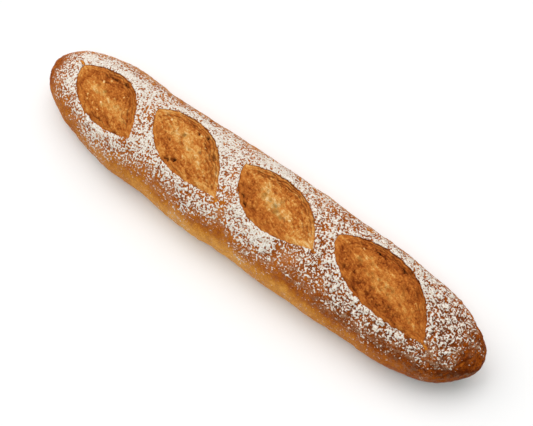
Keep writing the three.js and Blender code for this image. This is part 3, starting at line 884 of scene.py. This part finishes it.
def makeDough(number):
    score = scores[number]
    steps = round(2 * score["halfLength"] / dough["stepAlong"])
    rows = round((score["back"][0] + score["front"][0]) / dough["stepAcross"])
    even = np.linspace(-1, 1, steps)
    along = (0.5 * even - 0.5 * np.cos(np.linspace(0, math.pi, steps)))[:, None] + np.zeros(rows)
    across = np.linspace(-1, 1, rows)[None] + np.zeros((steps, 1))
    width = dough["overlap"] * scoreHalfWidth(score, along, across)
    x, y = pointInScore(score, along, across * width)
    skin = skinHeight(x, y)
    far, near = score["streak"]
    streak = far + (near - far) * (along + 1) / 2
    depth = doughDepth(score, along, across, streak)
    openness = opennessAt(along)
    flat = np.stack([x, y, 0 * x], 2).reshape(-1, 3)
    edge = np.maximum(0, -edgeDistance(x.ravel(), y.ravel())).reshape(x.shape)

    def spread(size, octaves=1, shift=0):
        return noiseAt(flat, size, octaves, shift + 11 * number).reshape(x.shape)

    relief = np.zeros_like(x)
    # painted shade: a dark line where the dough meets the skin, mostly along the back
    backShadeLine = dough["backShadeLine"] * (across > 0) * smooth(spread(6, 2, 5), 0.1, 0.7)
    hollowShade = bell(edge / dough["lineWidth"]) * (dough["frontShadeLine"] + backShadeLine)
    # the torn layers wander nearer to the edge and further from it
    wander = edge * (1 + 0.3 * spread(14, 1, 3)) + 0.7 * spread(6, 3, 2)
    for layers, half in (("backLayers", across > 0), ("frontLayers", across < 0)):
        rise, groove = tornLayers(dough[layers], wander, half * openness, spread)
        relief += rise
        hollowShade = np.maximum(hollowShade, groove)

    # crumbs on either side of the pale streak
    start, end = score["streakEnds"]
    bright = smooth(along, start - 0.2, start + 0.2) * smooth(along, end + 0.3, end - 0.2)
    breadth = dough["paleWidth"] * (0.7 + 0.7 * bright)
    pale = bell((across - streak - 0.12 * spread(8, 2, 4)) / breadth) * openness
    pale *= 0.3 + 0.7 * bright
    crumbly = smooth(edge, 2.2, 4.4) * (1 - 0.8 * pale)
    height, size = dough["crumbs"]
    jitter = 0.3 * np.stack([spread(1.5, 1, s).ravel() for s in (61, 67, 71)], 1)
    nearest, second = [d.reshape(x.shape) for d in cellsAt(flat + jitter, size, 3 * number)]
    crumb = 1 - (nearest / 0.6) ** 2
    crevice = smooth(nearest - second, -0.25, -0.03)
    relief += height * (crumb - crevice) * crumbly
    for height, size in (dough["roughness"], dough["swells"]):
        relief += height * spread(size, 3, 9) * (0.5 + 0.5 * crumbly)

    # fibres drawn out along the score as it opened, split here and there
    drawn = np.stack([along * score["halfLength"] / dough["fibreStretch"], across * width,
                      0 * x], 2).reshape(-1, 3)
    height, size = dough["fibres"]
    fibre = noiseAt(drawn, size, 2, 5 + number).reshape(x.shape)
    threadRise, size = dough["threads"]
    thread = noiseAt(drawn, size, 2, 60 + number).reshape(x.shape)
    split = bell(fibre / 0.1) * smooth(spread(7, 2, 14), 0.1, 0.7) * smooth(edge, 0.8, 2)
    relief += height * (fibre - dough["splitDepth"] * split) + threadRise * thread
    # painted shade in the splits
    hollowShade = np.maximum(hollowShade, 0.3 * split * (1 - 0.7 * pale))

    # raised pale flakes, pores in the pale streak and a few longish pits
    height, size = dough["flakes"]
    flakes = cellsAt(flat + 2 * jitter, size, 17 + number)[0].reshape(x.shape)
    flake = smooth(flakes, 0.34, 0.2) * smooth(spread(5, 2, 33), 0.2, 0.5) * crumbly
    relief += height * flake
    poreDepth, size = dough["pores"]
    pores = cellsAt(flat + jitter, size, 7 + number)[0].reshape(x.shape)
    pore = smooth(pores, 0.5, 0.15) * smooth(edge, 1, 2) * pale
    pitDepth, size = dough["pits"]
    pits = cellsAt(drawn + jitter, size, 5 + number)[0].reshape(x.shape)
    pit = smooth(pits, 0.22, 0.1) * smooth(edge, 1.5, 3) * (1 - 0.6 * pale)
    relief -= poreDepth * pore + pitDepth * pit
    # painted shade in the pits
    hollowShade = np.maximum(hollowShade, 0.6 * pit)

    jag = 0.5 * spread(2, 2, 6)  # makes the slits, dents and crumbs uneven
    for at, over, length, breadth, deep in slits[number]:
        slit, lip = slitAt(score, x + jag, y + jag, at, over, length, breadth)
        slit *= smooth(spread(2.5, 2, 8), -2, -0.6)
        relief += dough["slitLip"] * lip - dough["slitDepth"] * deep * slit
        # painted shade darkens each slit by its depth
        hollowShade = np.maximum(hollowShade, min(1, deep / dough["darkDepth"]) * slit)
    # painted shade in the pores and dents
    dentShade = 0.4 * pore
    for at, over, reach in dents[number]:
        dentX, dentY = spotInScore(score, at, over)
        dented = bell(np.hypot(x + jag - dentX, y + jag - dentY) / reach)
        relief -= dough["dentDepth"] * dented
        dentShade = np.maximum(dentShade, 0.75 * dented)
    loose = np.zeros_like(x)
    for at, over, reach in looseCrumbs[number]:
        crumbX, crumbY = spotInScore(score, at, over)
        out = np.hypot(x + 1.4 * jag - crumbX, y - jag - crumbY) / reach
        loose = np.maximum(loose, smooth(out, 1, 0.6))
    relief += dough["crumbRise"] * loose
    hollowShade *= 1 - loose

    # the relief stays a little below the skin
    relief *= dough["calm"] + (1 - dough["calm"]) * openness
    z = skin - depth + np.minimum(relief, depth - dough["clearance"])
    top = np.stack([x, y, np.minimum(z, cadBox[1][2] / mm)], 2)[:, ::-1]
    base = np.stack([x, y, skin - dough["baseDepth"]], 2)[:, [0, rows // 2, rows - 1]]
    rings = np.concatenate([base, top], 1)
    piece = addPiece(f"openedDough{number + 1}", rings.reshape(-1, 3), loftFaces(steps, rows + 3),
                     doughMaterial)

    bake = dough["toast"] + score["toast"]
    for amount, size, shift in dough["toastPatches"]:
        bake = bake + amount * spread(size, 2, shift)
    bake -= (dough["paleFibres"] * fibre + dough["paleThreads"] * thread
             + dough["paleFlakes"] * flake)
    bake -= score["paleness"] * pale * (0.8 + 0.4 * spread(4, 2, 26))
    # toasted crumbly sides, with painted shade darkening the crevices between the crumbs
    bake += crumbly * (0.06 - 0.1 * crumb + 0.1 * crevice)
    bake += score["frontToast"] * smooth(across, 0, -0.4) * smooth(along, 0.7, 0.2)
    bake -= score["pale"] * smooth(along, 0.4, 0.8) + fade(along, dough["paleFarTip"])
    bake -= dough["paleCrumbs"] * loose

    def padded(values, end):
        return np.concatenate([np.full((steps, 3), end), values[:, ::-1]], 1).ravel()

    setValue(piece, "bake", padded(bake, 0.5))
    setValue(piece, "hollowShade", padded(np.clip(hollowShade, 0, 1), 0.0))
    setValue(piece, "dentShade", padded(dentShade, 0.0))
    weld(piece)
    piece.data.shade_smooth()
    return piece


for number in range(len(scores)):
    piece = makeDough(number)
    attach(piece, "root")
    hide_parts("loaf")
    print("dough of score", number + 1, "made, points:", len(piece.data.vertices))


# Studio: pale floor, a wide soft key from above and the photo's camera

studio = {
    "floorSize": 12, "floorDrop": 0.0002,  # metres; the drop keeps the floor clear of the sole
    "floorColour": "f4f4f3", "floorRoughness": 0.9, "floorSpecular": 0.1,
    "wallColour": "fafafa", "wallStrength": 1,  # the pale room near the horizon
    "ceilingColour": "f6f8fb", "ceilingStrength": 0.14,
    "wallTop": 0.35,  # height on the sky where the wall has faded to the ceiling
    # strength, angular size in degrees, colour and the direction that each light comes from
    "lights": {
        "softKeyBack": (1.36, 52, "fff9f9", (-0.05, 0.36, 1)),
        "softKeyEnd": (1.36, 54, "fff9f9", (-0.75, -0.08, 1)),
        "softFill": (0.92, 30, "eeffff", (0.26, -0.33, 0.91)),
    },
}

camera = {
    "azimuth": 37.8, "elevation": 65, "lens": 85, "sensor": 36,  # degrees, then mm
    "imageWidth": 533, "pixelSize": 0.5887,  # mm of the loaf that one pixel shows
    "aim": (7.3, 3.2, 20),
    "farthest": 50,  # metres, well past the floor's edge
}


def matteBoard():
    # Painted studio board: a plain, even, pale ground
    material = bpy.data.materials.new("paleStudioBoard")
    material.use_nodes = True
    shader = material.node_tree.nodes["Principled BSDF"]
    shader.inputs["Base Color"].default_value = toLinear(studio["floorColour"])
    shader.inputs["Roughness"].default_value = studio["floorRoughness"]
    shader.inputs["Specular IOR Level"].default_value = studio["floorSpecular"]
    return material


def makeRoom():
    world = bpy.data.worlds.new("studio")
    world.use_nodes = True
    tree = world.node_tree
    tree.nodes.clear()
    direction = addNode(tree, "ShaderNodeTexCoord").outputs["Generated"]
    up = addNode(tree, "ShaderNodeSeparateXYZ", {0: direction}).outputs["Z"]
    ceiling = addNode(tree, "ShaderNodeMapRange", {
        "Value": up, "From Max": studio["wallTop"]}, interpolation_type="SMOOTHSTEP")
    lights = [addNode(tree, "ShaderNodeBackground", {
        "Color": toLinear(studio[name + "Colour"]),
        "Strength": studio[name + "Strength"]}).outputs[0] for name in ("wall", "ceiling")]
    mixed = addNode(tree, "ShaderNodeMixShader", {
        0: ceiling.outputs["Result"], 1: lights[0], 2: lights[1]})
    addNode(tree, "ShaderNodeOutputWorld", {"Surface": mixed.outputs[0]})
    bpy.context.scene.world = world


def makeStudio():
    size = studio["floorSize"] / 2
    mesh = bpy.data.meshes.new("floor")
    mesh.from_pydata([(x, y, -studio["floorDrop"]) for x, y in (
        (-size, -size), (size, -size), (size, size), (-size, size))], [], [(0, 1, 2, 3)])
    mesh.materials.append(matteBoard())
    floor = addObject("floor", mesh)

    for name, (strength, angle, hexColour, source) in studio["lights"].items():
        light = bpy.data.lights.new(name, "SUN")
        light.energy = strength
        light.angle = math.radians(angle)
        light.color = toLinear(hexColour)[:3]
        lamp = addObject(name, light)
        lamp.rotation_euler = (-Vector(source)).to_track_quat("-Z", "Y").to_euler()
    bpy.context.scene.view_settings.view_transform = "Standard"


def makeCamera():
    turn, tilt = math.radians(camera["azimuth"]), math.radians(camera["elevation"])
    back = Vector((math.sin(turn) * math.cos(tilt), -math.cos(turn) * math.cos(tilt),
                   math.sin(tilt)))
    focalPixels = camera["lens"] / camera["sensor"] * camera["imageWidth"]
    data = bpy.data.cameras.new("camera")
    data.lens = camera["lens"]
    data.sensor_width = camera["sensor"]
    data.clip_end = camera["farthest"]
    view = addObject("camera", data)
    view.location = (Vector(camera["aim"]) + back * focalPixels * camera["pixelSize"]) * mm
    view.rotation_euler = (-back).to_track_quat("-Z", "Y").to_euler()
    bpy.context.scene.camera = view


makeRoom()
makeStudio()
makeCamera()
print("studio and camera set")
